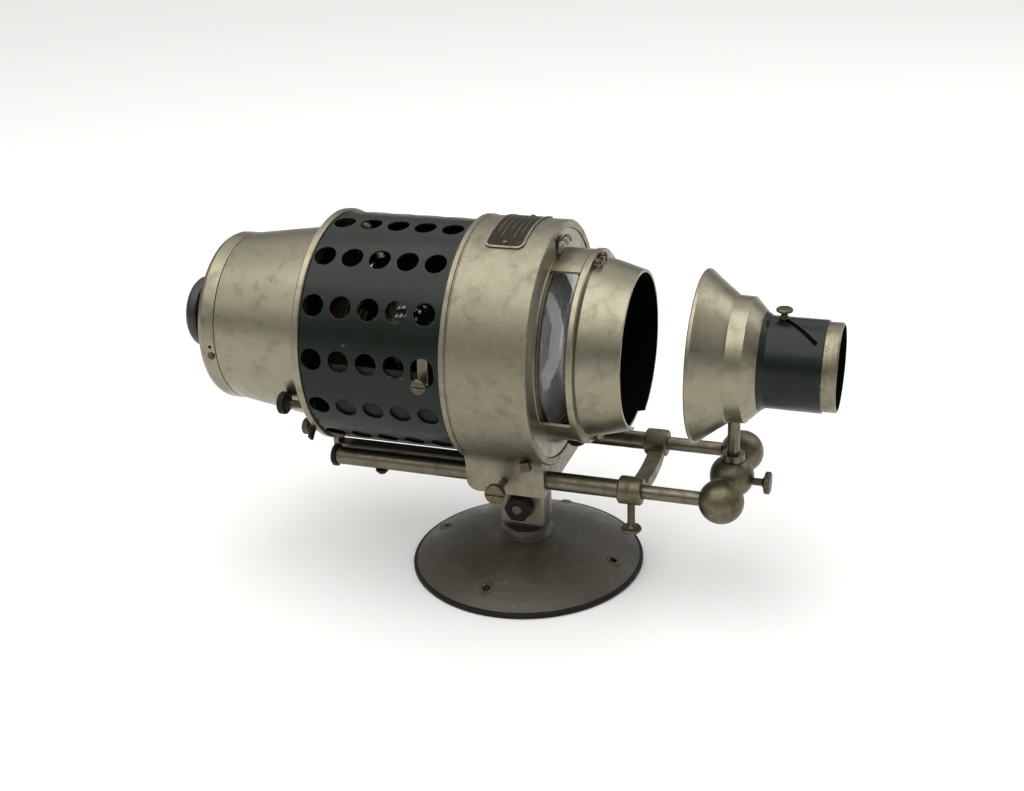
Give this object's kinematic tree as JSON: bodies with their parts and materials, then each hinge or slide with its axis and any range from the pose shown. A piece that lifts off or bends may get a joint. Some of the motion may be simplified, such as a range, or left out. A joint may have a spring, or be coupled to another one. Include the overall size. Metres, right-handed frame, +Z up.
{
  "type": "magic lantern",
  "caption": "Lantern-slide projector: vented lamp house on a tilting stand, condenser and slide stage, and a focusing lens with a hood on sliding rails.",
  "frame": {"origin": "centre of the round base, on its underside", "axes": "+X towards the lens along the optical axis, +Z up, -Y the side with the tilt nut and the rail clamp screw"},
  "size_m": [0.4654, 0.1728, 0.2566],
  "materials": {
    "casting": "pitted grey casting",
    "nickel": "worn nickel plate",
    "steel": "dull worn steel",
    "enamel": "dark green-black gloss enamel, worn at the edges",
    "black": "blackened metal",
    "bronze": "dark grey-brown paint, rubbed",
    "brass": "tarnished brass",
    "plate": "etched plate with a dark field",
    "bakelite": "black moulded plastic",
    "mirror": "polished concave mirror",
    "glass": "clear optical glass"
  },
  "bodies": {
    "stand": {"base_plate": "bronze", "base_rim": "black", "tilt_post": "bronze", "post_screws": "steel"},
    "head": {"front_casting": "casting", "tilt_bolt": "steel", "tilt_washers": "steel", "tilt_nut": "black", "name_plate": "plate", "plate_screws": "brass", "vent_sleeve": "enamel", "rear_ring": "nickel", "heat_shield": "enamel", "rear_can": "nickel", "rear_cap": "nickel", "cap_screws": "steel", "brace_bars": "steel", "condenser_cell": "steel", "rear_condenser": "glass", "condenser_spacer": "steel", "front_condenser": "glass", "condenser_ring": "steel", "cell_set_screw": "steel", "clamp_strap": "steel", "slide_stage": "nickel", "stage_screws": "steel", "carrier_spring": "nickel"},
    "rail_screw": {"rail_clamp_screw": "brass"},
    "stage_screw": {"stage_knob": "black"},
    "cell_screw": {"cell_clamp_screw": "steel"},
    "lamp_screw_a": {"lamp_screw_upper": "black"},
    "lamp_screw_b": {"lamp_screw_lower": "steel"},
    "latch": {"can_latch": "black"},
    "lamp_carriage": {"rear_knob": "bakelite", "lamp_tube": "brass", "lamp_socket": "brass", "lamp_base": "brass", "lamp_bulb": "glass", "reflector": "mirror", "reflector_bracket": "steel"},
    "rails": {"rail_tubes": "steel", "tube_end_caps": "black", "tube_stop_screws": "black", "rail_yoke": "casting"},
    "yoke_screw": {"yoke_clamp_screw": "steel"},
    "rods": {"inner_rods": "steel", "end_balls": "casting", "cross_rods": "steel", "centre_ball": "casting"},
    "ball_screw": {"ball_clamp_screw": "steel"},
    "lens_lift": {"post_collar": "steel"},
    "lens_head": {"lens_post": "steel", "lens_hood": "nickel", "focus_tube": "enamel"},
    "focus_carriage": {"front_lens": "glass", "rear_lens": "glass", "lens_rings": "black"},
    "focus_barrel": {"lens_barrel": "nickel", "focus_screw": "steel"}
  },
  "joints": [
    {"name": "tilt", "type": "hinge", "parent": "stand", "child": "head", "pos_m": [0, 0, 0.05], "axis": [0, -1, 0], "range_deg": [-15, 20]},
    {"name": "rail_slide", "type": "slide", "parent": "head", "child": "rails", "axis": [1, 0, 0], "range_m": [-0.01, 0.06]},
    {"name": "rod_slide", "type": "slide", "parent": "rails", "child": "rods", "axis": [1, 0, 0], "range_m": [-0.015, 0.08]},
    {"name": "lens_lift_slide", "type": "slide", "parent": "rods", "child": "lens_lift", "axis": [0, 0, 1], "range_m": [0, 0.008]},
    {"name": "lens_swivel", "type": "hinge", "parent": "lens_lift", "child": "lens_head", "pos_m": [0.1485, 0, 0.11], "axis": [0, 0, 1], "range_deg": [-10, 10]},
    {"name": "focus_slide", "type": "slide", "parent": "lens_head", "child": "focus_carriage", "axis": [1, 0, 0], "range_m": [0, 0.02]},
    {"name": "focus_turn", "type": "hinge", "parent": "focus_carriage", "child": "focus_barrel", "pos_m": [0.178, 0, 0.172], "axis": [1, 0, 0], "range_deg": [0, 36.5]},
    {"name": "lamp_slide", "type": "slide", "parent": "head", "child": "lamp_carriage", "axis": [1, 0, 0], "range_m": [-0.015, 0.01]},
    {"name": "rail_screw_turn", "type": "hinge", "parent": "head", "child": "rail_screw", "pos_m": [0.001, -0.05, 0.0863], "axis": [0, -1, 0], "continuous": true},
    {"name": "stage_knob_turn", "type": "hinge", "parent": "head", "child": "stage_screw", "pos_m": [0.039, 0, 0.1], "axis": [0, 0, -1], "continuous": true},
    {"name": "cell_screw_turn", "type": "hinge", "parent": "head", "child": "cell_screw", "pos_m": [-0.0402, -0.07995, 0.16928], "axis": [0, -0.9994, -0.034], "continuous": true},
    {"name": "lamp_screw_a_turn", "type": "hinge", "parent": "head", "child": "lamp_screw_a", "pos_m": [-0.133, -0.06763, 0.13754], "axis": [-1, 0, 0], "continuous": true},
    {"name": "lamp_screw_b_turn", "type": "hinge", "parent": "head", "child": "lamp_screw_b", "pos_m": [-0.133, -0.03795, 0.10627], "axis": [-1, 0, 0], "continuous": true},
    {"name": "latch_turn", "type": "hinge", "parent": "head", "child": "latch", "pos_m": [-0.133, -0.0546, 0.11928], "axis": [1, 0, 0], "range_deg": [0, 60]},
    {"name": "yoke_screw_turn", "type": "hinge", "parent": "rails", "child": "yoke_screw", "pos_m": [0.0875, -0.038, 0.075], "axis": [0, 0, -1], "continuous": true},
    {"name": "ball_screw_turn", "type": "hinge", "parent": "rods", "child": "ball_screw", "pos_m": [0.165, 0, 0.0838], "axis": [1, 0, 0], "continuous": true}
  ],
  "couplings": [
    {"joint": "focus_turn", "follows": "focus_slide", "rad_per_m": 31.416}
  ]
}
